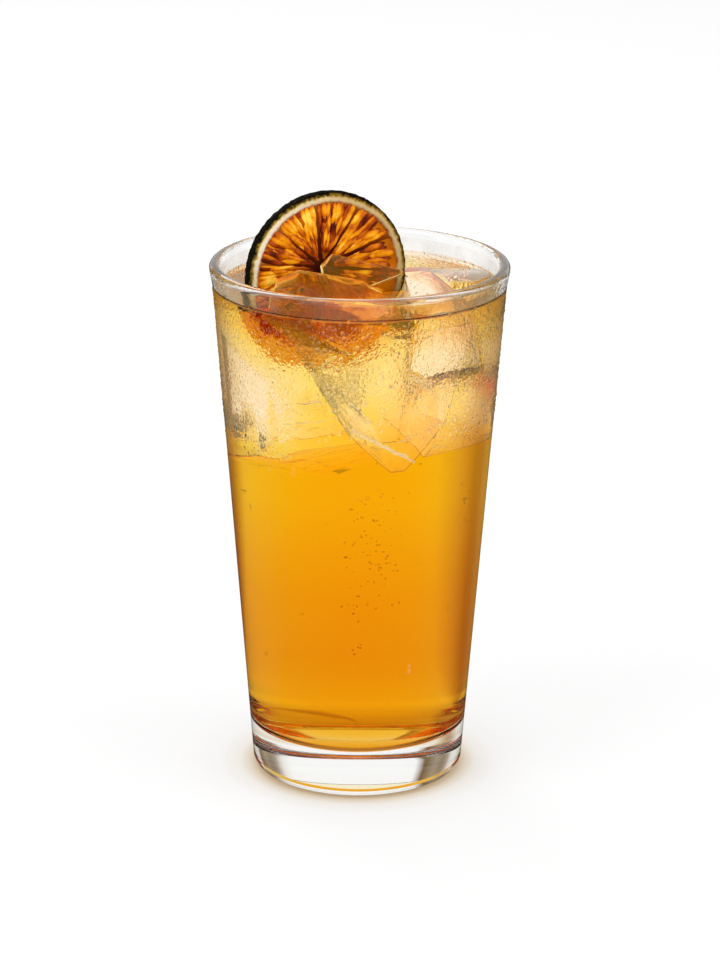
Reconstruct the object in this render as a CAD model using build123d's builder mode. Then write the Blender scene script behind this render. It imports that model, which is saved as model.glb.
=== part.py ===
"""A glass of iced lemonade with a dried citrus wheel, in millimetres.

The origin is the middle of the circle that the glass stands on, +Z is up, and -Y is the front.
"""

import os
from math import cos, radians, sin, sqrt, tan

from build123d import *

# Glass: a conical tumbler pressed with a heavy base and a fire-polished lip
glass_height = 156.5
foot_radius = 31.3
rim_radius = 43.5
wall = 2.8
base_thickness = 14.0
cavity_corner = 6.0
heel_corner = 3.4
standing_ring_radius = 24.0
punt_depth = 1.0
punt_slope_width = 2.0
lip_bead = 0.6
flare_lean = 11.0
flare_round = 12.0

# Drink: fills the cavity up to its level and climbs the wall a little
level = 149.0
meniscus_rise = 1.0
meniscus_width = 1.4

# Citrus wheel: a dried cross slice, standing in the ice and turned to the right
wheel_radius = 24.6
wheel_thickness = 4.4
wheel_edge_round = 1.3
wheel_turn = 22.0
wheel_before_axis = 5.4
wheel_wall_gap = 2.4
wheel_rise = 6.2
rind_and_pith = 2.9
membrane = 0.9
core_radius = 2.0
core_offset = (-2.0, 2.6)
flesh_sink = 0.45
flesh_corner = 0.8
segment_spans = (36, 40, 41, 35, 38, 34, 37, 33, 39, 27)
first_membrane = 20.0

# Ice: clear broken blocks that float up through the surface
ice_film = 0.5
ice_wheel_gap = 0.4
blank_size = 90.0


def outer_radius(height):
    """Radius of the tumbler's outer cone at a height."""
    return foot_radius + (rim_radius - foot_radius) * height / glass_height


def inner_radius(height):
    """Radius of the drink's cone, one wall inside the outer cone."""
    return outer_radius(height) - wall


os.makedirs("parts", exist_ok=True)
lip_radius = (wall + lip_bead) / 2
lip_centre_height = glass_height - lip_radius
lip_inner = inner_radius(lip_centre_height)
lip_centre = lip_inner + lip_radius

# The flare is a straight stretch that leaves the cone and runs into the lip's round without a corner.
lean = radians(flare_lean)
lip_start = (lip_centre + lip_radius * cos(lean), lip_centre_height - lip_radius * sin(lean))
cone_slope = (rim_radius - foot_radius) / glass_height
flare_start = (foot_radius - lip_start[0] + lip_start[1] * tan(lean)) / (tan(lean) - cone_slope)

# The tumbler is one revolved profile: punt, standing ring, heel, cone, flare, lip and cavity.
with BuildPart() as glass:
    with BuildSketch(Plane.XZ) as glass_profile:
        with BuildLine():
            punt = Line((0, punt_depth), (standing_ring_radius - punt_slope_width, punt_depth))
            ring = Line(punt @ 1, (standing_ring_radius, 0))
            sole = Line(ring @ 1, (foot_radius, 0))
            cone = Line(sole @ 1, (outer_radius(flare_start), flare_start))
            flare = Line(cone @ 1, lip_start)
            lip = ThreePointArc(flare @ 1, (lip_centre, glass_height), (lip_inner, lip_centre_height))
            well = Line(lip @ 1, (inner_radius(base_thickness), base_thickness))
            cavity_floor = Line(well @ 1, (0, base_thickness))
            Line(cavity_floor @ 1, punt @ 0)
        make_face()
        fillet(glass_profile.vertices().sort_by_distance(well @ 1)[0], cavity_corner)
        fillet(glass_profile.vertices().sort_by_distance(sole @ 1)[0], heel_corner)
        fillet(glass_profile.vertices().sort_by_distance(cone @ 1)[0], flare_round)
    revolve(axis=Axis.Z)
glass.part.label = "glass"


def cavity_body(inset, top, rise=0.0):
    """The space inside the tumbler up to a height, drawn in from the wall by an inset.

    A rise lets the surface climb the wall, as a liquid does.
    """
    floor_height = base_thickness + inset
    with BuildPart() as body:
        with BuildSketch(Plane.XZ) as profile:
            with BuildLine():
                bottom = Line((0, floor_height), (inner_radius(floor_height) - inset, floor_height))
                side = Line(bottom @ 1, (inner_radius(top + rise) - inset, top + rise))
                if rise:
                    edge = (inner_radius(top) - inset - meniscus_width, top)
                    surface_curve = TangentArc(edge, side @ 1, tangent=(1, 0))
                    surface = Line(surface_curve @ 0, (0, top))
                else:
                    surface = Line(side @ 1, (0, top))
                Line(surface @ 1, bottom @ 0)
            make_face()
            fillet(profile.vertices().sort_by_distance(bottom @ 1)[0], cavity_corner)
        revolve(axis=Axis.Z)
    return body.part


# The wheel's left end lies just inside the wall, and its hub follows from that.
turn = radians(wheel_turn)
wheel_height = level + wheel_rise
near_face = wheel_before_axis + wheel_thickness / 2
end_reach = sqrt((inner_radius(wheel_height) - wheel_wall_gap) ** 2 - near_face**2)
hub_offset = wheel_radius - end_reach
along = Vector(cos(turn), sin(turn), 0)
facing = Vector(sin(turn), -cos(turn), 0)
hub = along * hub_offset + facing * wheel_before_axis + Vector(0, 0, wheel_height)
wheel_plane = Plane(origin=hub, x_dir=along, z_dir=facing)


def flesh_point(angle, sideways, distance=None):
    """A point seen from the wheel's core, beside the ray at an angle; with no distance, at the pith."""
    ray = Vector(cos(radians(angle)), sin(radians(angle)))
    start = Vector(*core_offset) + Vector(-ray.Y, ray.X) * sideways
    if distance is None:
        flesh_radius = wheel_radius - rind_and_pith
        inward = start.dot(ray)
        distance = sqrt(inward**2 + flesh_radius**2 - start.length**2) - inward
    return start + ray * distance


def flesh_segment(start, span):
    """One wedge of flesh between two membranes, as an outline on the wheel's face."""
    half = membrane / 2
    with BuildSketch() as outline:
        with BuildLine():
            first = Line(flesh_point(start, half, core_radius), flesh_point(start, half))
            crest = ThreePointArc(
                first @ 1, flesh_point(start + span / 2, 0), flesh_point(start + span, -half)
            )
            last = Line(crest @ 1, flesh_point(start + span, -half, core_radius))
            Line(last @ 1, first @ 0)
        make_face()
        fillet(outline.vertices().sort_by_distance(core_offset)[-2:], flesh_corner)
    return outline.sketch


segment_starts = [first_membrane + sum(segment_spans[:i]) for i in range(len(segment_spans))]
segments = [flesh_segment(start, span) for start, span in zip(segment_starts, segment_spans)]

# The wheel dries with its flesh sunk between the rind and the membranes on both faces.
with BuildPart(wheel_plane) as citrus_slice:
    Cylinder(wheel_radius, wheel_thickness)
    fillet(citrus_slice.edges().filter_by(GeomType.CIRCLE), wheel_edge_round)
    for side in (1, -1):
        with BuildSketch(wheel_plane.offset(side * wheel_thickness / 2)):
            for outline in segments:
                add(outline)
        extrude(amount=-side * flesh_sink, mode=Mode.SUBTRACT)
citrus_slice.part.label = "citrus_slice"

# What the ice is cut back to: a thin film of drink at the wall, and a slot round the wheel
ice_room = cavity_body(ice_film, glass_height + wheel_radius)
with BuildPart(wheel_plane) as wheel_slot:
    Cylinder(wheel_radius + ice_wheel_gap, wheel_thickness + 2 * ice_wheel_gap)


def broken_block(middle, turn, breaks):
    """A block of ice bounded by flat breaks, each (compass direction, climb, distance).

    Compass directions are counted counter-clockwise from the block's own turn.
    """
    with BuildPart() as block:
        with Locations(middle):
            Box(blank_size, blank_size, blank_size)
        for compass, climb, distance in breaks:
            heading, rise = radians(turn + compass), radians(climb)
            outward = Vector(cos(rise) * cos(heading), cos(rise) * sin(heading), sin(rise))
            split(bisect_by=Plane(origin=middle + outward * distance, z_dir=outward), keep=Keep.BOTTOM)
    return block.part


def beside_wall(compass, depth, above_level):
    """A block's middle, so far in from the glass wall in a compass direction from the axis."""
    reach = inner_radius(level) - depth
    heading = radians(compass)
    return Vector(reach * cos(heading), reach * sin(heading), level + above_level)


def before_wheel(across, out, above_level):
    """A block's middle, across the wheel's face from its hub and out from that face."""
    face = wheel_thickness / 2 + ice_wheel_gap
    flat_hub = Vector(hub.X, hub.Y, level + above_level)
    return flat_hub + along * across + facing * (face + out)


# Each block: its middle, its turn, and its breaks
ice_blocks = {
    "ice_right": (
        beside_wall(332.2, 18.7, -10.0),
        19.5,
        (
            (0, 12, 8.6), (75, 5, 17.0), (130, 16, 15.5), (165, 4, 6.2), (215, 10, 17.0),
            (245, -6, 19.0), (290, 8, 16.0), (230, 86, 13.3), (255, 52, 20.5), (200, -62, 13.0),
            (0, -58, 14.0), (280, -70, 13.0),
        ),
    ),
    "ice_back_right": (
        beside_wall(9.8, 10.8, -11.0),
        19.5,
        (
            (350, -4, 8.5), (55, 4, 11.2), (105, 10, 10.4), (180, -12, 4.6), (265, 5, 15.6),
            (315, -3, 9.0), (40, 84, 13.8), (90, 50, 15.2), (180, -55, 12.0), (20, -60, 14.0),
            (280, -65, 14.0),
        ),
    ),
    "ice_front": (
        before_wheel(-4.3, 9.9, -1.0),
        wheel_turn,
        (
            (343, 10, 17.0), (38, 8, 15.5), (90, 0, 6.7), (153, 12, 16.0), (210, -6, 12.5),
            (250, 10, 12.0), (303, -12, 15.5), (310, 68, 6.9), (193, 72, 12.0), (240, 42, 11.5),
            (18, -60, 8.5), (198, -52, 9.0),
        ),
    ),
    "ice_wedge": (
        before_wheel(10.3, 1.4, 7.0),
        wheel_turn,
        (
            (0, 0, 12.0), (90, 0, 1.4), (180, -10, 12.5), (270, 0, 1.3), (0, 73, 2.8),
            (180, 47, 10.8), (0, -75, 5.0), (178, -60, 9.0), (270, 40, 3.4),
        ),
    ),
}

ice = {}
for name, (middle, block_turn, breaks) in ice_blocks.items():
    block = broken_block(middle, block_turn, breaks)
    with BuildPart() as piece:
        add(block)
        add(ice_room, mode=Mode.INTERSECT)
        add(wheel_slot.part, mode=Mode.SUBTRACT)
        for earlier in ice.values():
            add(earlier, mode=Mode.SUBTRACT)
    piece.part.label = name
    ice[name] = piece.part

# The drink fills what the ice and the wheel leave of the cavity.
with BuildPart() as lemonade:
    add(cavity_body(0.0, level, meniscus_rise))
    add(citrus_slice.part, mode=Mode.SUBTRACT)
    for piece_part in ice.values():
        add(piece_part, mode=Mode.SUBTRACT)
lemonade.part.label = "lemonade"

for node in (glass.part, lemonade.part, citrus_slice.part, *ice.values()):
    export_step(node, f"parts/{node.label}.step")
    print(node.label, "solids", len(node.solids()), "volume", round(node.volume, 1))
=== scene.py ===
# %% [markdown]
# # A glass of iced lemonade with a dried citrus wheel
#
# This lesson dresses a finished part, one tumbler of lemonade, so that it looks like the real
# drink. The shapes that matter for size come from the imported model. Everything here is built
# round it in metres, in the same place, and stands with its foot on the floor at height zero.

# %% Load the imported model
import random
from math import atan, cos, hypot, pi, radians, sin, sqrt, tan

import bmesh
import bpy
import numpy as np
from mathutils import Matrix, Vector


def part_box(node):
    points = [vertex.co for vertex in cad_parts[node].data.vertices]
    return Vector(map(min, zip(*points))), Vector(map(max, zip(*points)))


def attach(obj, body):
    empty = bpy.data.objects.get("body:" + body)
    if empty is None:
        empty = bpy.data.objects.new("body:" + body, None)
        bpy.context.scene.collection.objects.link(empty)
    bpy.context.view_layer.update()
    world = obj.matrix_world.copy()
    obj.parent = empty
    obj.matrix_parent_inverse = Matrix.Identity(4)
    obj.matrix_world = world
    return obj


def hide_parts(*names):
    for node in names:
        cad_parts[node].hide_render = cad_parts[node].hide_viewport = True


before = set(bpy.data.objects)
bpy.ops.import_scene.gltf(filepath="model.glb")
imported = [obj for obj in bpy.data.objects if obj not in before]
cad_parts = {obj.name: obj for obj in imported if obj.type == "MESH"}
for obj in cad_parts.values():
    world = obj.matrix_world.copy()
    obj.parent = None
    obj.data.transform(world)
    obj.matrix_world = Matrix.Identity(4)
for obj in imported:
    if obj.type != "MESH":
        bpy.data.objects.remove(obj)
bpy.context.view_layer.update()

scene = bpy.context.scene
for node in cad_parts:
    low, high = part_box(node)
    print(node, [round(1000 * v, 1) for v in (*low, *high)])

# %% [markdown]
# ## Units, colours and small helpers
#
# A maker thinks in millimetres and Blender works in metres, so `mm` turns one into the other.
# Colours are written as the hex codes of a paint program, and `linear` turns them into the
# straight-line values that a shader multiplies.

# %% Units and colours
mm = 0.001


def linear(code):
    """A hex colour as the linear red, green, blue and alpha that shaders expect."""
    parts = [int(code[i : i + 2], 16) / 255 for i in (0, 2, 4)]
    return (*[c / 12.92 if c <= 0.04045 else ((c + 0.055) / 1.055) ** 2.4 for c in parts], 1.0)


# %% Selecting and editing


def deselect():
    """Leaves edit mode and lets go of every object: operators act on all that is selected."""
    if bpy.context.object and bpy.context.object.mode != "OBJECT":
        bpy.ops.object.mode_set(mode="OBJECT")
    bpy.ops.object.select_all(action="DESELECT")


def take(piece):
    """Makes this the one selected and active object."""
    deselect()
    piece.select_set(True)
    bpy.context.view_layer.objects.active = piece


def edit(piece):
    """Goes into edit mode with the whole of a piece selected."""
    take(piece)
    bpy.ops.object.mode_set(mode="EDIT")
    bpy.ops.mesh.select_all(action="SELECT")


def new_piece(name, primitive, **settings):
    """Adds a primitive with everything else let go, names it and settles its place in its mesh."""
    deselect()
    primitive(**settings)
    piece = bpy.context.object
    piece.name = piece.data.name = name
    bpy.ops.object.transform_apply(location=True, rotation=True, scale=True)
    return piece


def copy_of(source, name):
    """A second object with its own mesh."""
    piece = source.copy()
    piece.data = source.data.copy()
    piece.name = piece.data.name = name
    piece.parent = None
    for key in list(piece.keys()):
        del piece[key]
    piece.data.materials.clear()
    scene.collection.objects.link(piece)
    return piece


def modify(piece, kind, **settings):
    """Adds a modifier, sets it and applies it."""
    take(piece)
    modifier = piece.modifiers.new(kind.title(), kind)
    for key, value in settings.items():
        setattr(modifier, key, value)
    bpy.ops.object.modifier_apply(modifier=modifier.name)


def merged(piece, distance=0.002 * mm):
    """Welds loose triangles into one skin and makes its faces point outwards."""
    edit(piece)
    bpy.ops.mesh.remove_doubles(threshold=distance)
    bpy.ops.mesh.normals_make_consistent(inside=False)
    bpy.ops.object.mode_set(mode="OBJECT")
    return piece


def smooth(piece, angle=30):
    """Smooth shading, with edges sharper than the angle kept crisp."""
    take(piece)
    bpy.ops.object.shade_smooth_by_angle(angle=radians(angle))


def remove(piece):
    """Throws away a piece that only helped to make another."""
    bpy.data.meshes.remove(piece.data)


def stamped(name, seed, places, tones=None):
    """One piece of many copies of a seed, each with its own matrix, and a tone kept for colour."""
    corners = np.array([(*vertex.co, 1.0) for vertex in seed.data.vertices])
    faces = [np.array(face.vertices) for face in seed.data.polygons]
    count = len(corners)
    points = np.concatenate([(corners @ np.array(place).T)[:, :3] for place in places])
    skin = [(face + i * count).tolist() for i in range(len(places)) for face in faces]
    mesh = bpy.data.meshes.new(name)
    mesh.from_pydata(points.tolist(), [], skin)
    mesh.shade_smooth()
    heights = np.tile(corners[:, 2], len(places))
    shades = np.repeat(tones or [1.0] * len(places), count)
    for label, values in (("height", heights), ("tone", shades)):
        mesh.attributes.new(label, "FLOAT", "POINT").data.foreach_set("value", values)
    piece = bpy.data.objects.new(name, mesh)
    scene.collection.objects.link(piece)
    return piece


def tell(piece):
    """Prints how many triangles a piece has and whether its skin is closed."""
    shell = bmesh.new()
    shell.from_mesh(piece.data)
    triangles = sum(len(face.verts) - 2 for face in shell.faces)
    gaps = sum(not edge.is_manifold for edge in shell.edges)
    volume = round(shell.calc_volume() / mm**3)
    print(f"{piece.name}: {triangles} triangles, {gaps} open edges, {volume} mm3")
    shell.free()


def tell_finishes(piece, *kinds):
    """Prints how many faces of a piece have each of its materials."""
    for i, kind in enumerate(kinds):
        count = sum(face.material_index == i for face in piece.data.polygons)
        print(piece.name, kind, count, "faces")


def belongs(piece, node, slot, *materials):
    """Gives a finished piece its materials, hangs it on the root body and hides the model node it
    replaces, if one is given. The slot is not used.
    """
    piece.data.materials.clear()
    for material in materials:
        piece.data.materials.append(material)
    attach(piece, "root")
    if node:
        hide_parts(node)


# %% [markdown]
# ## Nodes
#
# A material is a small tree of nodes. One helper adds a node, sets its values and plugs in what
# feeds it, so that a material reads like a list.

# %% Adding nodes


def connect(node, inputs):
    """Sets inputs of a node, each to a value, a hex colour, or another node's output.

    That output is given as a node and a name, or as just the node for its first one.
    """
    for name, value in inputs.items():
        source = value if isinstance(value, tuple) else (value, 0)
        if isinstance(source[0], bpy.types.Node):
            node.id_data.links.new(source[0].outputs[source[1]], node.inputs[name])
        else:
            node.inputs[name].default_value = linear(value) if isinstance(value, str) else value


def add_node(tree, kind, inputs=(), stops=(), **settings):
    """Adds a node with its inputs and settings.

    Inputs are a dictionary, or a list that starts at the first socket. The stops of a colour ramp
    are pairs of a place and a hex colour.
    """
    node = tree.nodes.new("ShaderNode" + kind)
    for key, value in settings.items():
        setattr(node, key, value)
    connect(node, inputs if isinstance(inputs, dict) else dict(enumerate(inputs)))
    if stops:
        elements = node.color_ramp.elements
        elements.remove(elements[-1])
        elements[0].position, elements[0].color = stops[0][0], linear(stops[0][1])
        for place, code in stops[1:]:
            elements.new(place).color = linear(code)
    return node


def between(value, start, end):
    """Inputs of a Map Range node that climbs from 0 to 1 between two places in millimetres."""
    return {"Value": value, "From Min": start * mm, "From Max": end * mm}


def own_place(tree):
    """Where a point is on its own object: the whole vector, and the node that splits it up."""
    place = add_node(tree, "TexCoord"), "Object"
    return place, add_node(tree, "SeparateXYZ", [place])


def new_material(name, **values):
    """A material with one Principled shader, whose plain values go straight on its sockets."""
    material = bpy.data.materials.new(name)
    material.use_nodes = True
    shader = material.node_tree.nodes["Principled BSDF"]
    connect(shader, {socket.replace("_", " "): value for socket, value in values.items()})
    return material, material.node_tree, shader


# %% [markdown]
# ## Camera, floor and studio
#
# The camera looks down at the glass from a little above its rim with a long lens. The studio is
# white all round. Glass and drinks have hardly any colour of their own at their edges: what draws
# them is a darker strip in the room, bent into view by the curved wall. Four dark strips stand
# round the room, a quarter turn apart, so that the glass is drawn the same from every side.

# %% Camera
camera = bpy.data.objects.new("camera", bpy.data.cameras.new("camera"))
scene.collection.objects.link(camera)
camera.location = (0, -1.0, 0.4167)
camera.rotation_mode = "QUATERNION"
camera_pitch, camera_roll = radians(17.75), radians(-0.305)
camera.rotation_quaternion = (
    Matrix.Rotation(pi / 2 - camera_pitch, 4, "X") @ Matrix.Rotation(-camera_roll, 4, "Z")
).to_quaternion()
camera.data.lens = 132.675
camera.data.sensor_width = 36
camera.data.shift_x, camera.data.shift_y = 0.0013, -0.0244
scene.camera = camera

# %% The room that glass and drink show
# Dark strips by compass direction, as a share of one quarter turn. The clear base shows the ones
# that stand round the room, and the drink the paler ones on the floor.
standing_strips = [
    (0.27, "FFFFFF"), (0.33, "705A3C"), (0.42, "A0927E"), (0.50, "8C8070"), (0.55, "A89C8C"),
    (0.61, "F0ECE6"), (0.67, "FFFFFF"),
]
floor_strips = [
    (0.19, "FFFFFF"), (0.33, "DCC6A4"), (0.42, "C2A684"), (0.50, "C4AA8A"), (0.60, "E6DACA"),
    (0.68, "FFFFFF"),
]


def room_colour(tree, direction, strip_stops, setback=0.0):
    """The white room with its dark strips, by the compass direction of a vector.

    The strips on the floor start a setback away from the axis, where the drink's far side sends
    light out, so that they line up with the strips in the room.
    """
    turn = add_node(tree, "TexGradient", {"Vector": direction}, gradient_type="RADIAL")
    quarters = add_node(tree, "Math", [(turn, "Fac"), 4.0], operation="MULTIPLY")
    share = add_node(tree, "Math", [quarters], operation="FRACT")
    if setback:
        reach = add_node(tree, "VectorMath", [direction], operation="LENGTH"), "Value"
        folded = add_node(tree, "Math", [share, pi / 2], operation="MULTIPLY")
        across = add_node(tree, "Math", [folded], operation="SINE")
        across = add_node(tree, "Math", [across, reach], operation="MULTIPLY")
        ahead = add_node(tree, "Math", [folded], operation="COSINE")
        ahead = add_node(tree, "Math", [ahead, reach, -setback], operation="MULTIPLY_ADD")
        ahead = add_node(tree, "Math", [ahead, 0.1 * mm], operation="MAXIMUM")
        share = add_node(tree, "Math", [across, ahead], operation="ARCTAN2")
        share = add_node(tree, "Math", [share, pi / 2], operation="DIVIDE")
    return add_node(tree, "ValToRGB", {"Fac": share}, stops=strip_stops)


world = bpy.data.worlds.new("studio")
scene.world = world
world.use_nodes = True
tree = world.node_tree
tree.nodes.clear()
direction = add_node(tree, "TexCoord")
room = room_colour(tree, (direction, "Generated"), standing_strips)
path = add_node(tree, "LightPath")
bent_rays = [(path, "Is Transmission Ray"), (path, "Is Glossy Ray")]
through = add_node(tree, "Math", bent_rays, operation="MAXIMUM")
lit = add_node(tree, "Background", {"Color": "FFFFFF", "Strength": 0.85})
seen_through = add_node(tree, "Background", {"Color": room})
backdrop = add_node(tree, "Background", {"Color": "FEFEFE"})
mixed = add_node(tree, "MixShader", [through, lit, seen_through])
final = add_node(tree, "MixShader", [(path, "Is Camera Ray"), mixed, backdrop])
add_node(tree, "OutputWorld", {"Surface": final})

# %% Lamps
# Large square lamps that face the glass. What is seen through glass is the room, not the lamps.
for name, place, size, power in (
    ("key", (-0.75, -0.55, 1.15), 0.7, 5.0),
    ("fill", (0.95, -0.35, 0.9), 0.9, 3.5),
    ("rim", (-0.45, 0.95, 0.9), 0.5, 3.0),
):
    lamp = bpy.data.objects.new(name, bpy.data.lights.new(name, "AREA"))
    scene.collection.objects.link(lamp)
    lamp.location = place
    lamp.rotation_mode = "QUATERNION"
    lamp.rotation_quaternion = (Vector((0, 0, 0.1)) - lamp.location).to_track_quat("-Z", "Y")
    lamp.data.size, lamp.data.energy = size, power
    lamp.visible_transmission = False

# %% Floor
floor = new_piece(
    "floor", bpy.ops.mesh.primitive_circle_add, vertices=96, radius=4.0, fill_type="NGON"
)
floor_material, tree, shader = new_material(
    "matt white sweep", Base_Color="FBFBFB", Roughness=0.9, Specular_IOR_Level=0.0
)
place = add_node(tree, "TexCoord"), "Object"
room = room_colour(tree, place, floor_strips, setback=34 * mm)
# Painted shade and painted amber light: under the foot and close round it, hardly any light reaches
# the floor but what the drink tints, so the floor that shows through the glass is painted amber
# under the foot, dark round its edge and pale again further out
reach = add_node(tree, "VectorMath", [place], operation="LENGTH"), "Value"
foot_share = add_node(tree, "Math", [reach, 70 * mm], operation="DIVIDE")
painted_foot_shade = add_node(tree, "ValToRGB", {"Fac": foot_share}, stops=[
    (0.00, "D8A050"), (0.34, "A87840"), (0.37, "241C16"), (0.44, "241C16"), (0.465, "C8A068"),
    (0.52, "DCC090"), (0.58, "ECDDC0"), (0.66, "F8F2E8"), (0.80, "FFFFFF"),
])
shading = {"Factor": 1.0, 6: room, 7: painted_foot_shade}
shaded = add_node(tree, "Mix", shading, data_type="RGBA", blend_type="MULTIPLY")
path = add_node(tree, "LightPath")
# Seen straight on, the floor close round the foot is painted a darker amber: a painted shadow with
# the amber glow that the drink throws painted into it
painted_glow_and_shadow = add_node(tree, "ValToRGB", {"Fac": foot_share}, stops=[
    (0.44, "C8A878"), (0.47, "E2D0B4"), (0.51, "F3ECE2"), (0.60, "FAF9F7"), (0.80, "FDFDFD"),
])
glow = add_node(tree, "Emission", {"Color": painted_glow_and_shadow})
seen_through = add_node(tree, "Emission", {"Color": (shaded, 2)})
in_reflection = add_node(tree, "Emission", {"Color": "FFFFFF", "Strength": 0.03})
half_lit = add_node(tree, "MixShader", [0.35, glow, shader])
seen = shader
for ray, look in (
    ("Is Camera Ray", half_lit),
    ("Is Glossy Ray", in_reflection),
    ("Is Transmission Ray", seen_through),
):
    seen = add_node(tree, "MixShader", [(path, ray), seen, look])
connect(tree.nodes["Material Output"], {"Surface": seen})
floor.data.materials.append(floor_material)

# Light crosses the tumbler, the drink and several blocks of ice, two surfaces each
scene.cycles.max_bounces = 40
scene.cycles.transmission_bounces = 40
scene.cycles.glossy_bounces = 8
scene.view_settings.view_transform = "Standard"

# %% [markdown]
# ## Round bodies
#
# The tumbler and the drink are turned shapes. Their outline is drawn one vertex at a time and
# spun about the upright axis. `rounded` replaces a sharp corner of an outline by an arc.

# %% Outlines and spinning


def rounded(corners, steps=8):
    """Points of an outline from (radius, height, rounding) corners in millimetres."""
    points = []
    for i, (radius, height, rounding) in enumerate(corners):
        corner = Vector((radius, height)) * mm
        if not rounding:
            points.append(corner)
            continue
        back = (Vector(corners[i - 1][:2]) * mm - corner).normalized()
        ahead = (Vector(corners[i + 1][:2]) * mm - corner).normalized()
        half = back.angle(ahead) / 2
        centre = corner + (back + ahead).normalized() * (rounding * mm / sin(half))
        reach = rounding * mm / tan(half)
        start, end = corner + back * reach - centre, corner + ahead * reach - centre
        sweep = start.angle(end)
        for k in range(steps + 1):
            share = k / steps
            points.append(
                centre + (start * sin((1 - share) * sweep) + end * sin(share * sweep)) / sin(sweep)
            )
    return points


def spun(name, outline, steps=224):
    """A closed round body from an outline that starts and ends on the axis."""
    piece = new_piece(name, bpy.ops.mesh.primitive_plane_add, size=0.01 * mm)
    edit(piece)
    bpy.ops.mesh.merge(type="CENTER")
    bpy.ops.transform.translate(value=(outline[0].x, 0, outline[0].y))
    for last, point in zip(outline, outline[1:]):
        step = point - last
        bpy.ops.mesh.extrude_vertices_move(TRANSFORM_OT_translate={"value": (step.x, 0, step.y)})
    bpy.ops.mesh.select_all(action="SELECT")
    bpy.ops.mesh.spin(steps=steps, angle=2 * pi, center=(0, 0, 0), axis=(0, 0, 1))
    return merged(piece, 0.001 * mm)


# %% [markdown]
# ## The tumbler
#
# A pressed glass tumbler: a heavy base with a rounded heel and a shallow hollow under it, a plain
# cone for a wall and a fire-polished lip that flares a little.

# %% Tumbler
glass_height, foot_radius, rim_radius, wall = 156.5, 31.3, 43.5, 2.8
base_thickness, cavity_corner = 14.0, 6.0
heel_corner, flare_round, flare_lean, lip_radius = 3.4, 12.0, radians(11.0), 1.7
cone = (rim_radius - foot_radius) / glass_height
flare = tan(flare_lean)


def outer(height):
    """Radius of the tumbler's outside at a height, in millimetres."""
    return foot_radius + cone * height


def inner(height):
    """Radius of the drink's side at a height, in millimetres."""
    return outer(height) - wall


lip_height = glass_height - lip_radius
lip_middle = inner(lip_height) + lip_radius
lip_outer = lip_middle + lip_radius / cos(flare_lean) + flare * lip_radius
flare_start = (outer(0) - lip_outer + flare * glass_height) / (flare - cone)
# The corners of the lip are a hair under its radius, so that their arcs don't overlap
tumbler_outline = rounded(
    [
        (0, 1.0, 0),
        (21.6, 1.0, 0),
        (22.0, 0.95, 0),
        (24.0, 0.05, 0),
        (24.4, 0, 0),
        (outer(0), 0, heel_corner),
        (outer(60), 60, 0),
        (outer(flare_start), flare_start, flare_round),
        (lip_outer, glass_height, 1.68),
        (inner(glass_height), glass_height, 1.62),
        (inner(154), 154, 0),
        (inner(149.6), 149.6, 0),
        (inner(70), 70, 0),
        (inner(base_thickness), base_thickness, cavity_corner),
        (0, base_thickness, 0),
    ],
    steps=10,
)
tumbler = spun("tumbler", tumbler_outline)
smooth(tumbler, 40)
tell(tumbler)

# %% [markdown]
# ## Ice
#
# Bar ice is cracked from a clear slab, so its blocks are bounded by flat breaks with edges that
# the drink has begun to melt round. Four blocks stand up through the surface and are part of the
# model. The blocks under them are added here: a cube is cut back by one plane after another.
# Planes half way between neighbours keep the blocks apart, with a film of lemonade between.

# %% Blocks that break the surface
melt_bevel = 0.7 * mm


def melted(piece, width=melt_bevel):
    """Rounds the edges of a block as melting does."""
    modify(
        piece,
        "BEVEL",
        width=width,
        segments=3,
        limit_method="ANGLE",
        angle_limit=radians(14),
        miter_outer="MITER_ARC",
    )


ice_nodes = ("ice_right", "ice_back_right", "ice_front", "ice_wedge")
standing_ice = []
for node in ice_nodes:
    block = merged(copy_of(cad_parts[node], "clear_" + node))
    modify(block, "DECIMATE", decimate_type="DISSOLVE", angle_limit=radians(4))
    melted(block, 0.35 * mm if node == "ice_wedge" else melt_bevel)
    smooth(block, 35)
    tell(block)
    standing_ice.append(block)

# %% Blocks under the surface
# Each sunk block in millimetres: its middle, how far its bottom is raised and how it leans, and its
# breaks as (compass, climb, distance) from the middle. No two bottoms lie alike.
film = 0.5
ice_bottom, ice_top = 100.0, 145.0
sunk_blocks = {
    "middle": (
        (8, -19, 131),
        (0.0, 0.1, 0.05),
        ((262, 4, 14.0), (250, 30, 15.0), (285, -36, 19.0), (235, -50, 24.0), (60, 60, 18.0)),
    ),
    "left": (
        (-20, -15, 114),
        (1.5, -0.12, -0.3),
        (
            (215, 0, 13.0), (245, -8, 14.5), (290, 10, 14.0), (250, -42, 13.0), (200, -34, 12.5),
            (250, 55, 20.0), (300, -60, 12.0),
        ),
    ),
    "right": (
        (27, -6, 124),
        (5.0, -0.32, 0.2),
        (
            (330, 0, 9.6), (300, 8, 11.0), (0, -4, 10.5), (30, 0, 12.0), (320, -45, 15.5),
            (350, 50, 15.0),
        ),
    ),
    "back_left": (
        (-17, 17, 124),
        (5.0, 0.3, 0.15),
        ((135, 0, 13.5), (100, 5, 14.5), (170, -6, 14.0), (140, -50, 17.0), (140, 55, 20.0)),
    ),
    "back": (
        (14, 21, 121),
        (9.0, -0.3, 0.3),
        ((70, 0, 13.5), (30, -5, 15.0), (110, 4, 13.5), (60, -50, 16.0), (70, 52, 17.0)),
    ),
}


def compass_vector(compass, climb):
    """A unit vector by compass direction and climb, both in degrees."""
    turn, rise = radians(compass), radians(climb)
    return Vector((cos(rise) * cos(turn), cos(rise) * sin(turn), sin(rise)))


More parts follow.
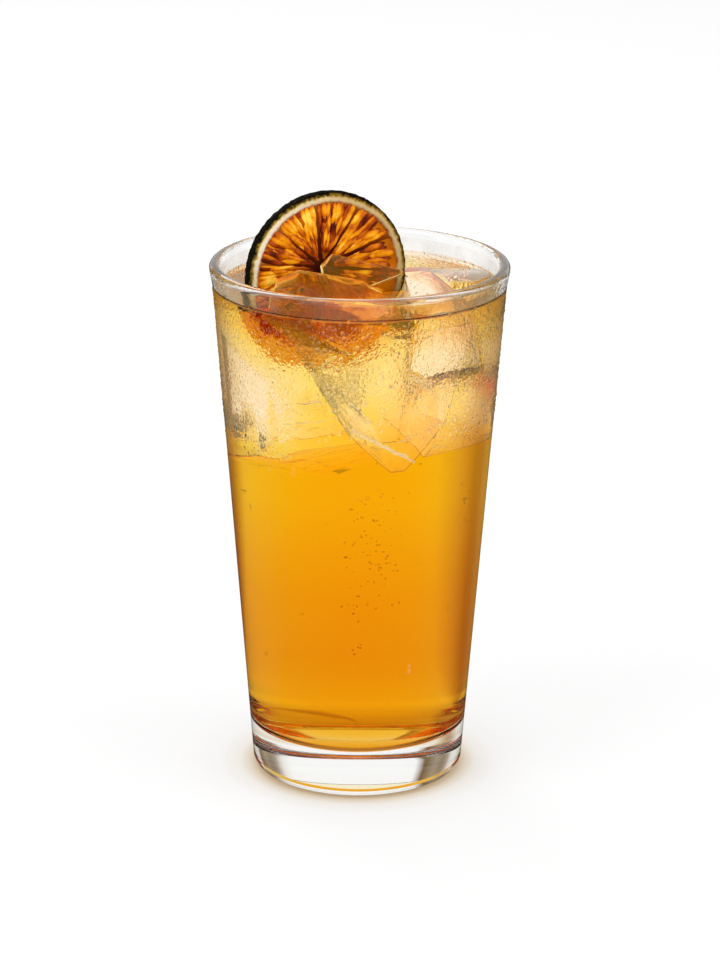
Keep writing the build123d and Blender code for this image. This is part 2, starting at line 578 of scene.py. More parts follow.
def cut_back(piece, planes):
    """Cuts a solid back by planes, each a point and an outward normal, and closes each cut."""
    edit(piece)
    for point, normal in planes:
        bpy.ops.mesh.select_all(action="SELECT")
        bpy.ops.mesh.bisect(plane_co=point, plane_no=normal, use_fill=True, clear_outer=True)
    bpy.ops.object.mode_set(mode="OBJECT")


def boolean(piece, tool, operation):
    """Cuts a second solid out of a piece, or keeps what both share."""
    modify(piece, "BOOLEAN", object=tool, operation=operation, solver="MANIFOLD")


def grown(source, distance):
    """A copy of a solid with its skin moved out, or in if the distance is negative."""
    cutter = copy_of(source, "cutter")
    modify(cutter, "DISPLACE", strength=distance, mid_level=0.0)
    return cutter


# Sunk ice keeps this far from the wall and from the blocks that stand out of the drink
gap = 0.6
room_inside = spun(
    "room_inside",
    rounded([(0, 90, 0), (inner(90) - gap, 90, 0), (inner(150) - gap, 150, 0), (0, 150, 0)]),
    steps=96,
)
keep_clear = [grown(block, gap * mm) for block in standing_ice]

sunk_ice = []
chips = random.Random(5)
for name, (middle, (rise, *lean), breaks) in sunk_blocks.items():
    middle = Vector(middle)
    block = new_piece(
        "sunk_ice_" + name, bpy.ops.mesh.primitive_cube_add, size=80 * mm, location=middle * mm
    )
    planes = [
        (Vector((0, 0, ice_top)) * mm, Vector((0, 0, 1))),
        (Vector((middle.x, middle.y, ice_bottom + rise)) * mm, Vector((*lean, -1)).normalized()),
    ]
    for other, (away, *_) in sunk_blocks.items():
        if other != name:
            apart = Vector(away) - middle
            outward = apart.normalized()
            planes.append(((middle + apart / 2 - outward * film / 2) * mm, outward))
    for compass, climb, distance in breaks:
        outward = compass_vector(compass, climb)
        planes.append(((middle + outward * distance) * mm, outward))
    cut_back(block, planes)
    melted(block)
    boolean(block, room_inside, "INTERSECT")
    for cutter in keep_clear:
        boolean(block, cutter, "DIFFERENCE")
    smooth(block, 35)
    tell(block)
    sunk_ice.append(block)
for cutter in keep_clear + [room_inside]:
    remove(cutter)

# %% Crushed splinters
# Where a block has split, a ridge of splinters hangs on it with air caught between them, so that
# they flash white and dark; a faint glow of their own, a painted glint, adds to the white. Each is
# a small block cut back by its own breaks.
splinters = []
# Each ridge in millimetres: its two ends, how many splinters hang on it, and their half width
ridges = (
    ((-1.9, -35.2, 116.2), (14.0, -32.2, 106.8), 18, 0.36),
    ((-5.2, -35.6, 128.9), (3.8, -35.0, 116.8), 4, 0.22),
    ((-21.0, -28.4, 121.8), (-9.5, -34.4, 125.0), 4, 0.3),
    ((-21.0, -28.0, 115.6), (-9.6, -34.0, 118.9), 4, 0.24),
    ((10.4, -33.2, 112.0), (25.8, -24.0, 117.1), 5, 0.24),
    ((3.9, -36.6, 136.5), (9.6, -34.8, 128.6), 3, 0.2),
    ((-31.0, -14.0, 119.0), (-19.8, -28.0, 105.0), 6, 0.24),
    ((-24, 22.0, 118.0), (-6, 31.0, 108.0), 9, 0.36),
)
for start, end, count, size in ridges:
    start, end = Vector(start), Vector(end)
    for k in range(count):
        middle = start.lerp(end, (k + chips.random()) / count)
        middle += Vector([chips.uniform(-0.7, 0.7) * size for _ in range(3)])
        splinter = new_piece(
            "splinter", bpy.ops.mesh.primitive_cube_add, size=12 * mm, location=middle * mm
        )
        run = (end - start + Vector([chips.uniform(-5, 5) for _ in range(3)])).normalized()
        side = run.orthogonal().normalized()
        twist = chips.uniform(0, pi)
        planes = []
        for face in range(5):
            around = Matrix.Rotation(twist + face * 2 * pi / 5, 3, run)
            outward = (around @ side + run * chips.uniform(-0.12, 0.12)).normalized()
            planes.append(((middle + outward * size * chips.uniform(0.5, 1.0)) * mm, outward))
        for way in (1, -1):
            outward = (run * way + side * chips.uniform(-0.8, 0.8)).normalized()
            planes.append(((middle + outward * size * chips.uniform(4, 9)) * mm, outward))
        cut_back(splinter, planes)
        splinters.append(splinter)
take(splinters[0])
for splinter in splinters:
    splinter.select_set(True)
bpy.ops.object.join()
crushed_ice = bpy.context.object
crushed_ice.name = crushed_ice.data.name = "crushed_ice"
tell(crushed_ice)

# %% [markdown]
# ## The lemonade
#
# The drink fills the tumbler up to its level and climbs the wall a little at the edge. Where two
# clear things touch, no film of air may be left between them, or light is turned back there as at
# a mirror. So the drink reaches a quarter of a millimetre into the glass, and the holes cut in it
# for the ice are a little smaller than the ice.

# %% Lemonade
into_glass, level, meniscus_rise, meniscus_width = 0.25, 149.0, 1.0, 1.4
lemonade = spun(
    "lemonade_fill",
    rounded(
        [
            (0, base_thickness - into_glass, 0),
            (inner(base_thickness) + into_glass, base_thickness - into_glass, cavity_corner),
            (inner(70) + into_glass, 70, 0),
            (inner(level + meniscus_rise) + into_glass, level + meniscus_rise + 0.12, 0),
            (inner(level) - meniscus_width * 0.28, level + 0.32, 0),
            (inner(level) - meniscus_width, level, 0.9),
            (inner(level) - 4, level, 0),
            (0, level, 0),
        ],
        steps=10,
    ),
)
hole_undersize = 0.15 * mm
for block in standing_ice + sunk_ice:
    cutter = grown(block, -hole_undersize)
    boolean(lemonade, cutter, "DIFFERENCE")
    remove(cutter)
smooth(lemonade, 25)

# %% Bubbles
# Air bubbles are hollows in the drink: small balls turned inside out and joined to its skin. Most
# hang in a loose train near the front, and some are spread round the sides.
rising = random.Random(31)
bubble_places = []
for _ in range(170):
    kind = rising.random()
    if kind < 0.45:
        turn, height = -pi / 2 + rising.gauss(0.13, 0.12), rising.uniform(60, 97)
    elif kind < 0.55:
        turn, height = -pi / 2 + rising.gauss(-0.02, 0.03), rising.uniform(44, 62)
    elif kind < 0.65:
        turn, height = rising.gauss(-0.55, 0.05), rising.uniform(80, 98)
    else:
        turn, height = rising.uniform(-pi, pi), rising.uniform(40, 97)
    size = rising.uniform(0.14, 0.36)
    away = inner(height) - size - rising.uniform(0.1, 2.5)
    middle = Vector((away * cos(turn), away * sin(turn), height)) * mm
    bubble_places.append(Matrix.Translation(middle) @ Matrix.Scale(size * mm, 4))
ball = new_piece("ball", bpy.ops.mesh.primitive_ico_sphere_add, subdivisions=2, radius=1.0)
bubbles = stamped("bubbles", ball, bubble_places)
remove(ball)
bubbles.data.flip_normals()
take(bubbles)
lemonade.select_set(True)
bpy.context.view_layer.objects.active = lemonade
bpy.ops.object.join()
tell(lemonade)

# %% [markdown]
# ## Clear materials, and where they touch
#
# Each clear thing is drawn as if air were all round it. Where the drink wets the glass or the ice,
# the real surfaces hardly reflect at all, because water, ice and glass bend light nearly alike. So
# a wetted surface keeps its refraction and gives up its mirror: its specular tint goes to black.

# %% Pressed glass
# What smooth clear things share, and what a surface wetted on both sides has besides
clear = {"Transmission_Weight": 1.0, "Roughness": 0.0}
no_mirror = {"Specular_Tint": "000000"}

# Soda-lime glass, pressed and fire-polished: clear and smooth. Beside the ice the outside is misted
# with dew too fine to model, so the surface there is rippled like orange peel, 1.3 mm from crest to
# crest.
glass_finish, tree, shader = new_material(
    "pressed soda-lime glass", Base_Color="FDFEFD", IOR=1.5, **clear
)
place, parts = own_place(tree)
wavering = add_node(tree, "TexNoise", {"Vector": place, "Scale": 40.0, "Detail": 2.0})
edge_of_mist = add_node(
    tree, "Math", [(wavering, "Fac"), 40 * mm, (parts, "Z")], operation="MULTIPLY_ADD"
)
dewy_from = between(edge_of_mist, 128, 146)
misted = add_node(tree, "MapRange", dewy_from, interpolation_type="SMOOTHSTEP")
below_lip = add_node(tree, "MapRange", between((parts, "Z"), 151, 147))
# In front, a thumb has wiped it and the middle stays clear low down
from_left = add_node(tree, "Math", [(parts, "X"), 1 / (88 * mm), 0.5], operation="MULTIPLY_ADD")
wiped = add_node(tree, "ValToRGB", {"Fac": from_left}, stops=[
    (0.27, "000000"), (0.32, "FFFFFF"), (0.64, "FFFFFF"), (0.70, "000000"),
])
low_down = add_node(tree, "MapRange", between(edge_of_mist, 150, 143))
ahead = add_node(tree, "MapRange", between((parts, "Y"), -10, -20))
calm = add_node(tree, "Math", [wiped, low_down], operation="MULTIPLY")
calm = add_node(tree, "Math", [calm, ahead], operation="MULTIPLY")
left_misted = add_node(tree, "Math", [calm, -0.85, 1.0], operation="MULTIPLY_ADD")
fine_waves = {"Vector": place, "Scale": 750.0, "Detail": 1.0, "Distortion": 0.6}
ripple = add_node(tree, "TexNoise", fine_waves)
swell = (ripple, "Fac")
for share in (misted, below_lip, left_misted):
    swell = add_node(tree, "Math", [swell, share], operation="MULTIPLY")
bump = add_node(tree, "Bump", {"Height": swell, "Strength": 1.0, "Distance": 0.2 * mm})
connect(shader, {"Normal": bump})

wetted_finish, *_ = new_material(
    "soda-lime glass wetted by the drink", Base_Color="FFFFFF", IOR=1.5, **clear, **no_mirror
)
# Above the drink the inside is wet too, with a film of melt water that runs and clouds it a little
filmed_finish, tree, shader = new_material(
    "soda-lime glass with a film of melt water", IOR=1.5, Roughness=0.02
)
place, parts = own_place(tree)
runs = add_node(tree, "TexNoise", {"Vector": place, "Scale": 130.0, "Detail": 3.0})
clearness = add_node(tree, "ValToRGB", {"Fac": (runs, "Fac")}, stops=[
    (0.36, "FFFFFF"), (0.50, "ECECEC"), (0.62, "DADADA"),
])
connect(shader, {"Transmission Weight": clearness})
# Drink has splashed up the front, so that the film there is stained
forward = add_node(tree, "MapRange", between((parts, "Y"), 5, -30))
splashed = add_node(tree, "Math", [(runs, "Fac"), 0.25], operation="ADD")
splashed = add_node(tree, "Math", [splashed, forward], operation="MULTIPLY")
stain = add_node(tree, "ValToRGB", {"Fac": splashed}, stops=[
    (0.10, "FFFCF6"), (0.55, "FFE6A4"), (0.68, "FFCC6C"), (0.82, "F4A434"),
])
connect(shader, {"Base Color": stain})
bump = add_node(tree, "Bump", {"Height": (runs, "Fac"), "Strength": 0.6, "Distance": 1.0 * mm})
connect(shader, {"Normal": bump})
belongs(tumbler, "glass", "clear_glass", glass_finish, wetted_finish, filmed_finish)
for face in tumbler.data.polygons:
    radius, height = hypot(face.center.x, face.center.y) / mm, face.center.z / mm
    if radius < outer(height) - wall / 2 and base_thickness - 0.1 < height < glass_height - 2.5:
        face.material_index = 1 if height < level + 0.6 else 2
tell_finishes(tumbler, "dry", "wetted", "filmed")


def dry_above(tree, shader, height, blend=0.5):
    """Leaves a surface its mirror only above the drink's level."""
    _, parts = own_place(tree)
    dry = add_node(tree, "MapRange", between((parts, "Z"), height - blend, height))
    connect(shader, {"Specular Tint": dry})


# %% Lemonade
# Still lemonade: water with sugar and amber juice in it, deeper in colour the further light goes.
# The tint on its skin changes with height: deepest 25 to 50 mm up, paler at the foot, nearly clear
# above 90 mm and faintly warm at the surface.
drink_finish, tree, shader = new_material("still amber lemonade", IOR=1.333, **clear)
_, parts = own_place(tree)
depth = add_node(tree, "Math", [(parts, "Z"), 150 * mm], operation="DIVIDE")
tint_by_height = add_node(tree, "ValToRGB", {"Fac": depth}, stops=[
    (0.094, "FFEFCB"), (0.125, "F8DFC8"), (0.16, "F1CDBF"), (0.20, "F0C5BC"), (0.32, "F3CEC4"),
    (0.42, "F7D8CE"), (0.52, "FCEFE7"), (0.62, "FFFDFF"), (0.72, "FFFBFC"), (0.92, "FFFBF9"),
    (0.97, "FFF0DD"),
])
connect(shader, {"Base Color": tint_by_height})
dry_above(tree, shader, level - 0.02, 0.1)
absorb = add_node(tree, "VolumeAbsorption", {"Color": "FFF100", "Density": 91.6})
connect(tree.nodes["Material Output"], {"Volume": absorb})
belongs(lemonade, "lemonade", "lemonade", drink_finish)

# %% Ice
# Clear bar ice, its breaks smoothed by melting. What stands above the drink is glass-clear. It
# glows faintly of its own: a painted glow.
ice_finish, tree, shader = new_material(
    "clear bar ice",
    Base_Color="FFFDF8",
    IOR=1.31,
    Emission_Color="FFF0D0",
    Emission_Strength=0.02,
    **clear,
)
dry_above(tree, shader, level)
# The sunk blocks are a little clouded. Trapped air scatters light through them and gives it back
# pale, which a faint light of their own stands for.
clouded_finish, tree, shader = new_material(
    "bar ice clouded by trapped air",
    IOR=1.31,
    Emission_Color="FFF4DC",
    Emission_Strength=0.035,
    **clear,
    **no_mirror,
)
place = add_node(tree, "TexCoord"), "Object"
cloud = add_node(tree, "TexNoise", {"Vector": place, "Scale": 90.0, "Detail": 4.0})
clouding = add_node(tree, "ValToRGB", {"Fac": (cloud, "Fac")}, stops=[
    (0.30, "FFF4E2"), (0.62, "FFFCF6"),
])
connect(shader, {"Base Color": clouding})
# Cracked ice breaks in small flat facets, about 9 mm across, that each bend the light a little
facets = add_node(tree, "TexVoronoi", {"Vector": place, "Scale": 110.0}, distance="CHEBYCHEV")
bump = add_node(tree, "Bump", {"Height": facets, "Strength": 1.0, "Distance": 0.3 * mm})
connect(shader, {"Normal": bump})
# The two blocks that lie on the wheel are tinted amber and glow faintly amber of their own: painted
# light from the wheel behind them
amber_glow_ice_finish, tree, shader = new_material(
    "bar ice with a painted amber glow from the wheel",
    Base_Color="FFF4AC",
    IOR=1.31,
    Emission_Color="F4A420",
    Emission_Strength=0.05,
    **clear,
)
dry_above(tree, shader, level)
for block, node in zip(standing_ice, ice_nodes):
    on_wheel = node in ("ice_front", "ice_wedge")
    belongs(block, node, "ice", amber_glow_ice_finish if on_wheel else ice_finish)
for block in sunk_ice:
    belongs(block, None, "ice", clouded_finish)
# Splinters are wrapped in a film of air, so that they bend light more than wetted ice does. They
# also glow faintly of their own: a painted glint.
splinter_finish, *_ = new_material(
    "ice splinters with air round them and a painted glint",
    Base_Color="FFF8EA",
    Transmission_Weight=0.75,
    IOR=1.15,
    Roughness=0.0,
    Emission_Color="FFF0D0",
    Emission_Strength=0.12,
)
belongs(crushed_ice, None, "ice", splinter_finish)

# %% [markdown]
# ## The dried citrus wheel
#
# A slice of lime or lemon, dried slowly until it is brown: the rind goes nearly black and
# wrinkles, the pith stays a dull cream, and the juice sacs shrink into glassy amber drops that
# point at the core, held between dark membranes. The rind, pith and membranes are one skin, taken
# from the model's own wheel and remeshed finely enough to wrinkle. The sacs are one drop, tapered
# and laid out some hundreds of times.

# %% Where the wheel stands
wheel_low, wheel_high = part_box("citrus_slice")
hub = (wheel_low + wheel_high) / 2
wheel_turn = radians(22.0)
along = Vector((cos(wheel_turn), sin(wheel_turn), 0))
facing = Vector((sin(wheel_turn), -cos(wheel_turn), 0))
axes = Matrix((along, Vector((0, 0, 1)), facing)).transposed().to_4x4()
wheel_place = Matrix.Translation(hub) @ axes
print("hub", [round(v / mm, 2) for v in hub])

# %% Rind, pith and membranes
carcass = merged(copy_of(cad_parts["citrus_slice"], "dried_rind_and_membranes"))
modify(carcass, "REMESH", mode="VOXEL", voxel_size=0.33 * mm)
modify(carcass, "SMOOTH", factor=0.5, iterations=3)
# The rind wrinkles fully, from this far out, and what lies inside it a quarter as much
rind_from, rind_blend = 22.4, 1.2
to_wheel = wheel_place.inverted()
rind = carcass.vertex_groups.new(name="rind")
for vertex in carcass.data.vertices:
    spot = to_wheel @ vertex.co / mm
    share = (hypot(spot.x, spot.y) - rind_from) / rind_blend
    rind.add([vertex.index], min(1.0, max(0.25, share)), "REPLACE")
wrinkles = bpy.data.textures.new("wrinkles", "CLOUDS")
wrinkles.noise_scale = 1.5 * mm
wrinkles.noise_depth = 2
modify(
    carcass,
    "DISPLACE",
    texture=wrinkles,
    texture_coords="LOCAL",
    strength=0.5 * mm,
    mid_level=0.7,
    vertex_group="rind",
)
smooth(carcass, 80)
tell(carcass)

# %% One juice sac
sac = new_piece("sac", bpy.ops.mesh.primitive_ico_sphere_add, subdivisions=2, radius=1.0)
for reach, narrowing in ((-0.1, 0.85), (-0.5, 0.7)):
    edit(sac)
    bpy.ops.mesh.select_mode(type="VERT")
    bpy.ops.mesh.select_all(action="DESELECT")
    bpy.ops.object.mode_set(mode="OBJECT")
    for vertex in sac.data.vertices:
        vertex.select = vertex.co.y < reach
    bpy.ops.object.mode_set(mode="EDIT")
    bpy.ops.transform.resize(value=(narrowing, 1, narrowing))
    bpy.ops.object.mode_set(mode="OBJECT")

# %% Sacs laid out in the segments
segment_spans = (36, 40, 41, 35, 38, 34, 37, 33, 39, 27)
first_membrane, flesh_radius = 20.0, 21.3
core = Vector((-2.0, 2.6))
# Each ring of sacs in millimetres: distance from the hub, and a sac's width and half length
sac_rings = (
    (18.0, 1.5, 4.4), (15.4, 1.4, 5.2), (12.2, 1.25, 5.2), (9.0, 1.1, 4.6), (6.2, 0.95, 3.4)
)
layout = random.Random(11)
sacs, tones = [], []
start = first_membrane
for span in segment_spans:
    for side in (1, -1):
        segment_tone = layout.uniform(0.8, 1.0)
        for row, width, length in sac_rings:
            room_across = radians(span) * row - 0.7
            count = max(1, round(room_across / width))
            for k in range(count):
                share = (k + 0.5) / count - 0.5 + layout.uniform(-0.25, 0.25) / count
                angle = radians(start + span / 2) + share * room_across / row
                ray = Vector((cos(angle), sin(angle)))
                reach = row + layout.uniform(-1.6, 1.2)
                past_core = core.dot(ray)
                edge = sqrt(past_core**2 + flesh_radius**2 - core.length_squared) - past_core
                half = length * layout.uniform(0.75, 1.1)
                reach = min(reach, edge + 0.5 - half * 0.92)
                spot = core + ray * reach
                lean = layout.uniform(-0.13, 0.13)
                spot = Vector((*spot, side * layout.uniform(1.5, 1.85)))
                size = (width * layout.uniform(0.5, 0.95), half, layout.uniform(0.45, 0.7), 1 / mm)
                sacs.append(
                    wheel_place
                    @ Matrix.Translation(spot * mm)
                    @ Matrix.Rotation(angle - pi / 2 + lean, 4, "Z")
                    @ Matrix.Rotation(0 if side > 0 else pi, 4, "Y")
                    @ Matrix.Diagonal(Vector(size) * mm)
                )
                shade = segment_tone * layout.choice((0.45, 0.7, 0.85, 0.95, 1.0, 1.0))
                tones.append(shade * min(1.0, max(0.25, (reach - 2.5) / 6.5)))
    start += span
flesh = stamped("dried_juice_sacs", sac, sacs, tones)
remove(sac)
tell(flesh)

# %% [markdown]
# ## What the dried wheel is made of
#
# Colour follows the distance from the hub, blurred by a little noise so that the rings aren't
# drawn with compasses: black rind, an olive line, cream pith, then brown membranes.

# %% Materials of the wheel


def wheel_coordinates(tree):
    """Object coordinates turned into the wheel's own, with the hub in the middle."""
    place = add_node(tree, "TexCoord"), "Object"
    return add_node(
        tree,
        "Mapping",
        {"Vector": place, "Location": hub, "Rotation": wheel_place.to_euler()},
        vector_type="TEXTURE",
    )


def share_from_hub(tree, parts):
    """The distance from the hub as a share of 25 mm, which is just past the rind."""
    flat = add_node(tree, "CombineXYZ", [(parts, "X"), (parts, "Y"), 0.0])
    reach = add_node(tree, "VectorMath", [flat], operation="LENGTH"), "Value"
    return add_node(tree, "Math", [reach, 25 * mm], operation="DIVIDE")


# Dried rind and pith: leathery and matt, with olive oil glands left beside the black
rind_finish, tree, shader = new_material(
    "air-dried citrus rind", Roughness=0.7, Specular_IOR_Level=0.02
)
local = wheel_coordinates(tree)
parts = add_node(tree, "SeparateXYZ", [local])
grain = add_node(tree, "TexNoise", {"Vector": local, "Scale": 900.0, "Detail": 3.0})
broad = add_node(tree, "TexNoise", {"Vector": local, "Scale": 160.0, "Detail": 2.0})
# Half of what the noises add is taken off first, so that they blur out and in alike
share = add_node(tree, "Math", [share_from_hub(tree, parts), 0.052], operation="SUBTRACT")
for noise, amount in ((grain, 0.056), (broad, 0.048)):
    share = add_node(tree, "Math", [(noise, "Fac"), amount, share], operation="MULTIPLY_ADD")
height_from_middle = add_node(tree, "Math", [(parts, "Z")], operation="ABSOLUTE")
raised_from = between(height_from_middle, 1.80, 2.05)
raised = add_node(tree, "MapRange", raised_from, interpolation_type="SMOOTHSTEP")
raised_colours = add_node(tree, "ValToRGB", {"Fac": share}, stops=[
    (0.00, "3A1204"), (0.45, "5E2204"), (0.78, "9A4C10"), (0.855, "A86428"), (0.892, "FFF0D4"),
    (0.918, "F6E6C2"), (0.935, "B8963C"), (0.950, "4A3A14"), (0.962, "120D06"), (1.00, "0B0804"),
])
sunk_colours = add_node(tree, "ValToRGB", {"Fac": share}, stops=[
    (0.00, "421202"), (0.30, "722802"), (0.70, "9C4603"), (0.86, "8A3A04"), (0.885, "F2DDB2"),
    (0.935, "B8963C"), (0.965, "120D06"),
])
both = add_node(
    tree, "Mix", {"Factor": raised, 6: sunk_colours, 7: raised_colours}, data_type="RGBA"
)
# The colours are multiplied by a ramp from white 20 mm left of the hub to tan 6 mm right of it, so
# the pith is whiter on the left and tan on the right
side_share = add_node(tree, "MapRange", between((parts, "X"), -20, 6))
tan_share = add_node(tree, "ValToRGB", {"Fac": side_share}, stops=[
    (0.0, "FFFFFF"), (1.0, "DCC8A2"),
])
warming_to_right = {"Factor": 1.0, 6: (both, 2), 7: tan_share}
warmer_to_right = add_node(tree, "Mix", warming_to_right, data_type="RGBA", blend_type="MULTIPLY")
connect(shader, {"Base Color": (warmer_to_right, 2)})
bump = add_node(tree, "Bump", {"Height": (grain, "Fac"), "Strength": 0.5, "Distance": 0.3 * mm})
connect(shader, {"Normal": bump})

# Dried flesh behind the sacs: amber, with a faint glow of its own, a painted glow that stands for
# light coming through the thin, cloudy flesh from behind
flesh_finish, tree, shader = new_material(
    "dried citrus flesh with a painted amber glow",
    Roughness=0.5,
    Specular_IOR_Level=0.05,
    Emission_Strength=0.22,
)
local = wheel_coordinates(tree)
flecks = add_node(tree, "TexNoise", {"Vector": local, "Scale": 300.0, "Detail": 3.0})
parts = add_node(tree, "SeparateXYZ", [local])
fleck_inputs = [(flecks, "Fac"), 0.3, share_from_hub(tree, parts)]
share = add_node(tree, "Math", fleck_inputs, operation="MULTIPLY_ADD")
deep = add_node(tree, "ValToRGB", {"Fac": share}, stops=[
    (0.15, "4A1000"), (0.45, "A84C00"), (0.80, "D87C08"), (1.00, "B05A04"),
])
connect(shader, {"Base Color": deep, "Emission Color": deep})



def swollen(name, fleck_scale, fleck_detail, stops, **values):
    """Rind or flesh that has taken up the drink: half clear, with paler flecks."""
    finish, tree, shader = new_material(name, **values, **no_mirror)
    speckles = {"Vector": wheel_coordinates(tree), "Scale": fleck_scale, "Detail": fleck_detail}
    flecks = add_node(tree, "TexNoise", speckles)
    connect(shader, {"Base Color": add_node(tree, "ValToRGB", [(flecks, "Fac")], stops=stops)})
    return finish


# Rind and membranes that stand in the drink have taken it up again: swollen, amber, half clear.
# Light bends little between the two, so the IOR is that of wet peel over the drink's, 1.40 / 1.333.
soaked_stops = [(0.30, "F09A18"), (0.50, "FFC046"), (0.70, "FFDA80")]
soaked = {"Roughness": 0.3, "IOR": 1.05, "Transmission_Weight": 0.85}
soaked_finish = swollen("citrus rind soaked in the drink", 220.0, 3.0, soaked_stops, **soaked)
belongs(carcass, "citrus_slice", "dried_citrus", rind_finish, flesh_finish, soaked_finish)
soaked_below = (level - 1.5) * mm
flesh_height, flesh_reach = 1.9, 21.5
for face in carcass.data.polygons:
    spot = to_wheel @ face.center / mm
    if face.center.z < soaked_below:
        face.material_index = 2
    elif abs(spot.z) < flesh_height and hypot(spot.x, spot.y) < flesh_reach:
        face.material_index = 1
tell_finishes(carcass, "rind", "flesh", "soaked")

# Dried juice sacs: boiled-sugar amber and glassy. Their crowns are painted bright and their feet
# nearly black, painted light and shade, and they glow faintly of their own, a painted glow.
sac_finish, tree, shader = new_material(
    "glassy dried juice sacs with painted glow and shade",
    Roughness=0.3,
    Specular_IOR_Level=0.1,
    Coat_Weight=0.08,
    Coat_Roughness=0.05,
    Emission_Strength=0.22,
)
crown = add_node(tree, "Attribute", attribute_name="height")
tone = add_node(tree, "Attribute", attribute_name="tone")
local = wheel_coordinates(tree)
streaks = add_node(tree, "TexNoise", {"Vector": local, "Scale": 420.0, "Detail": 2.0})
patches = add_node(tree, "TexNoise", {"Vector": local, "Scale": 150.0, "Detail": 1.0})
# A sac's crown is painted light and its foot painted dark, as light from behind would show it.
# About half of what the noises add is taken off.
painted_light_and_tone = add_node(tree, "Math", [(crown, "Fac"), 0.62, 0.36], operation="MULTIPLY_ADD")
toned = [painted_light_and_tone, (tone, "Fac"), -0.795]
painted_light_and_tone = add_node(tree, "Math", toned, operation="MULTIPLY_ADD")
for noise, amount in ((streaks, 0.6), (patches, 0.9)):
    speckled = [(noise, "Fac"), amount, painted_light_and_tone]
    painted_light_and_tone = add_node(tree, "Math", speckled, operation="MULTIPLY_ADD")
amber = add_node(tree, "ValToRGB", {"Fac": painted_light_and_tone}, stops=[
    (0.05, "360600"), (0.22, "641A00"), (0.36, "923200"), (0.50, "B65200"), (0.66, "DA7800"),
    (0.84, "F4A20A"), (1.00, "FFCC4C"),
])
connect(shader, {"Base Color": amber, "Emission Color": amber})

# Sacs in the drink are swollen and clear, like the rind there
sac_stops = [(0.32, "E07C00"), (0.50, "F8AE20"), (0.68, "FFCE5C")]
swollen_sac = {"Roughness": 0.15, "IOR": 1.06, "Transmission_Weight": 0.9}
swollen_finish = swollen("juice sacs swollen in the drink", 260.0, 2.0, sac_stops, **swollen_sac)
belongs(flesh, "citrus_slice", "dried_citrus", sac_finish, swollen_finish)
for face in flesh.data.polygons:
    if face.center.z < soaked_below:
        face.material_index = 1
tell_finishes(flesh, "dried", "swollen")

# %% [markdown]
# ## Dew on the glass and bubbles in the drink
#
# Damp air leaves dew on the cold part of the wall, beside the ice. The drops run together into
# beads where there is much of it. Each drop is a shallow cap of a ball, pressed onto the wall with
# its flat side just inside the glass, so that no air is left between.

# %% One drop and its place on the wall
cone_angle = atan(cone)


def dome(name, shallow=0.80):
    """A shallow cap of a ball with a flat underside and a foot of radius one."""
    piece = new_piece(name, bpy.ops.mesh.primitive_ico_sphere_add, subdivisions=2, radius=1.0)
    cut_back(piece, [(Vector((0, 0, shallow)), Vector((0, 0, -1)))])
    edit(piece)
    bpy.ops.transform.translate(value=(0, 0, -shallow))
    grow = 1 / sqrt(1 - shallow**2)
    bpy.ops.transform.resize(value=(grow, grow, grow), center_override=(0, 0, 0))
    bpy.ops.object.mode_set(mode="OBJECT")
    return piece


def on_wall(turn, height, radius):
    """Axes on the wall: across, up the wall and out of it, at a compass direction and a height."""
    heading = Vector((cos(turn), sin(turn), 0))
    out = heading * cos(cone_angle) - Vector((0, 0, sin(cone_angle)))
    up = Vector((0, 0, 1)) * cos(cone_angle) + heading * sin(cone_angle)
    place = Matrix((up.cross(out), up, out)).transposed().to_4x4()
    place.translation = (heading * radius + Vector((0, 0, height))) * mm
    return place


dew = random.Random(23)


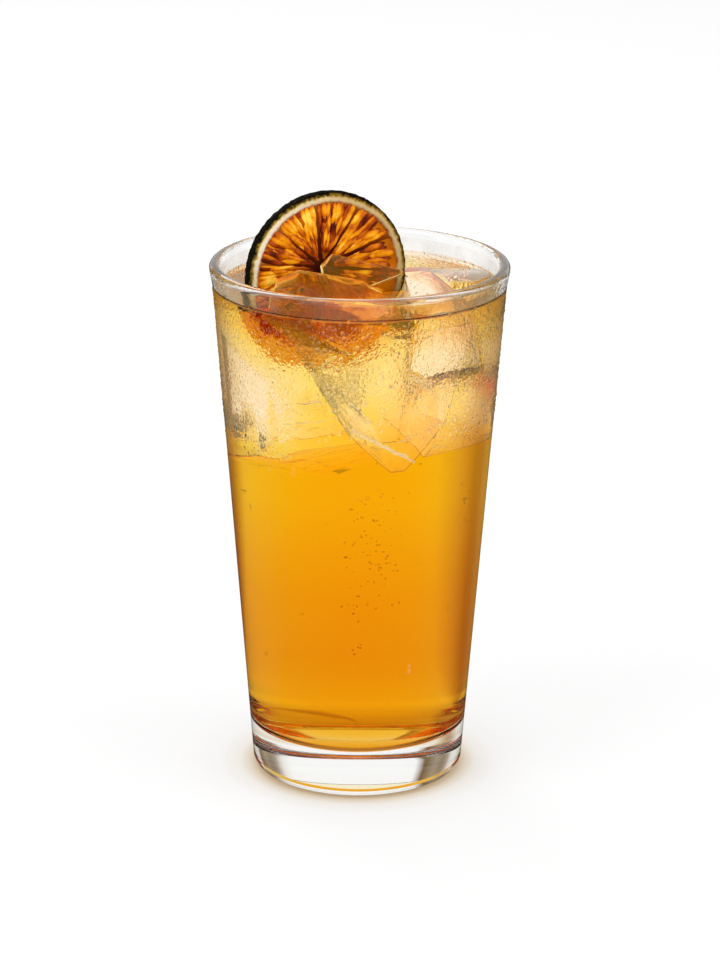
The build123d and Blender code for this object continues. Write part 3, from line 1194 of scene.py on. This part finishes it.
def dewiness(turn, height):
    """How much dew there is at a place on the wall, from 0 to 1."""
    across = (turn + pi / 2 + pi) % (2 * pi) - pi
    lower = 107 + 5 * sin(2 * across + 0.6) + 4 * sin(5 * across + 1.1)
    amount = min(1.0, max(0.0, (height - lower) / 14))
    amount *= 0.72 + 0.28 * sin(3.1 * across + height / 9.0)
    # In front a thumb has wiped a strip, and the middle beside it has less dew low down
    wiped_left, middle_left, middle_right, dewy_height = -18.5, -9.5, 16, 126
    x = 41 * sin(across)
    if abs(across) < pi / 2:
        if wiped_left < x < middle_left and 101 < height < 133:
            amount *= 0.05
        elif middle_left <= x < middle_right and height < dewy_height:
            amount *= 0.35
        elif not middle_left <= x < middle_right or height > dewy_height:
            amount = min(1.0, amount * 1.5)
    # It thins out just under the lip
    if height > 147.5:
        amount *= max(0.0, (150.5 - height) / 3)
    return amount


def scatter(count, low, high, smallest, largest, packing, density):
    """Drops on the wall that don't crowd each other: (turn, height, radius) of each."""
    cells, drops = {}, []
    cell = 2 * largest
    for _ in range(count):
        turn, height = dew.uniform(-pi, pi), dew.uniform(low, high)
        size = smallest + (largest - smallest) * dew.random() ** 2.2
        if dew.random() > density(turn, height):
            continue
        u, v = turn * outer(height), height
        key = (int(u // cell), int(v // cell))
        near = [
            other
            for i in (-1, 0, 1)
            for j in (-1, 0, 1)
            for other in cells.get((key[0] + i, key[1] + j), ())
        ]
        if all(hypot(u - a, v - b) > packing * (size + c) for a, b, c in near):
            cells.setdefault(key, []).append((u, v, size))
            drops.append((turn, height, size))
    return drops


# %% Dew
beads = scatter(22000, 98, 150, 0.30, 0.90, 0.9, dewiness)
mist = scatter(
    5000, 85, 151, 0.14, 0.26, 1.1, lambda turn, height: 0.12 + 0.6 * dewiness(turn, height)
)
# Four drops have run down: (compass direction, height, radius)
for compass, height, size in ((-64, 40.5, 0.9), (-64, 42.2, 0.6), (118, 52, 0.9), (-146, 88, 0.7)):
    beads.append((radians(compass), height, size))
print(len(beads), "beads", len(mist), "fine drops")
water_finish, *_ = new_material("dew, still water", Base_Color="FFFFFF", IOR=1.333, **clear)
foot_inside = 0.03
for name, drops in (("dew_beads", beads), ("dew_mist", mist)):
    seed = dome("seed")
    places = []
    for turn, height, size in drops:
        slip, skew, bulge = dew.uniform(0.9, 1.35), dew.uniform(-0.5, 0.5), dew.uniform(0.75, 1.15)
        places.append(
            on_wall(turn, height, outer(height) - foot_inside)
            @ Matrix.Rotation(skew, 4, "Z")
            @ Matrix.Diagonal(Vector((size, size * slip, size * bulge, 1 / mm)) * mm)
        )
    water = stamped(name, seed, places)
    remove(seed)
    smooth(water, 50)
    tell(water)
    belongs(water, None, "clear_glass", water_finish)
